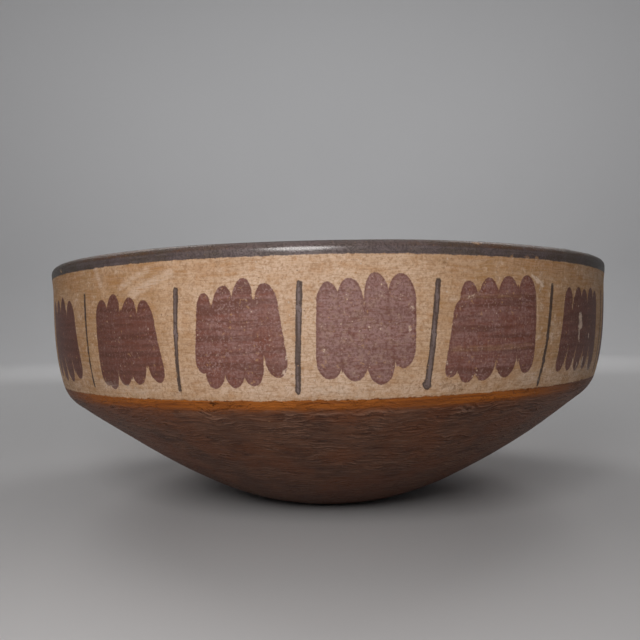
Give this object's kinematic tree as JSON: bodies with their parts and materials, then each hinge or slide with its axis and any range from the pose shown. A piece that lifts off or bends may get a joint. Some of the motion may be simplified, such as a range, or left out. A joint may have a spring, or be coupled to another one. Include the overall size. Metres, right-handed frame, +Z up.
{
  "type": "painted pottery bowl",
  "caption": "Wide hollow pottery bowl with a curved underside, a soft shoulder and an upright painted wall. It stands on a small flat spot.",
  "frame": {"origin": "centre of the flat spot of the underside, on which the bowl stands", "axes": "+Z up along the bowl's axis; the wall seen in the picture faces -Y"},
  "size_m": [0.2, 0.2, 0.0828],
  "materials": {
    "bowl": "hand-burnished clay slips, cream, orange and dark brown, worn and lightly glossy"
  },
  "bodies": {
    "root": {"bowl": "bowl"}
  },
  "joints": []
}
